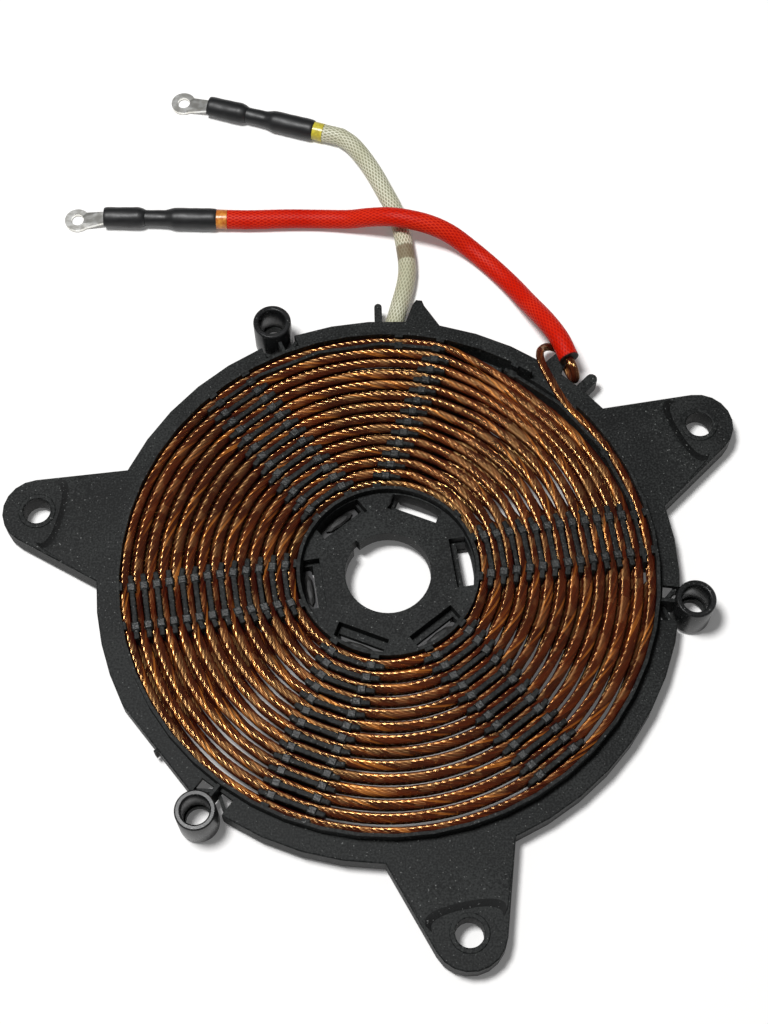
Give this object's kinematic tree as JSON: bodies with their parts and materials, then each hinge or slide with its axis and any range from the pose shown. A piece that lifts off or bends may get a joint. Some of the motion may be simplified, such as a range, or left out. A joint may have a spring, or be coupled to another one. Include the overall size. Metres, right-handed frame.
{
  "type": "induction_coil",
  "caption": "Flat pancake coil of an induction hob: black moulded former, two-layer copper litz spiral, ferrite bars and two sleeved leads with ring terminals",
  "frame": {"origin": "middle of the box of the former in plan, on the surface it stands on", "axes": "+Z is the coil axis and the way the winding faces, +Y points to the side where the leads leave, +X to the right of the picture"},
  "size_m": [0.2512, 0.3346, 0.0178],
  "materials": {
    "former": "moulded charcoal with fine grain",
    "litz": "enamelled copper strands, satin",
    "ferrite": "sintered dark grey ceramic",
    "resin": "cured dark bonding resin",
    "red_sleeving": "varnished glass braid, red",
    "white_sleeving": "varnished glass braid, natural",
    "tape": "amber polyimide tape",
    "shrink": "satin black shrink tube",
    "tin": "bright tinned copper"
  },
  "bodies": {
    "root": {"coil_former": "former", "litz_winding": "litz", "ferrite_bar_1": "ferrite", "ferrite_bar_2": "ferrite", "ferrite_bar_3": "ferrite", "ferrite_bar_4": "ferrite", "ferrite_bar_5": "ferrite", "ferrite_bar_6": "ferrite", "ferrite_resin_1": "resin", "ferrite_resin_2": "resin", "ferrite_resin_3": "resin", "ferrite_resin_4": "resin", "ferrite_resin_5": "resin", "ferrite_resin_6": "resin", "red_lead_sleeve": "red_sleeving", "red_lead_tape": "tape", "red_lead_shrink": "shrink", "red_lead_crimp_shrink": "shrink", "red_lead_ring_terminal": "tin", "white_lead_sleeve": "white_sleeving", "white_lead_tape": "tape", "white_lead_shrink": "shrink", "white_lead_crimp_shrink": "shrink", "white_lead_ring_terminal": "tin"}
  },
  "joints": []
}
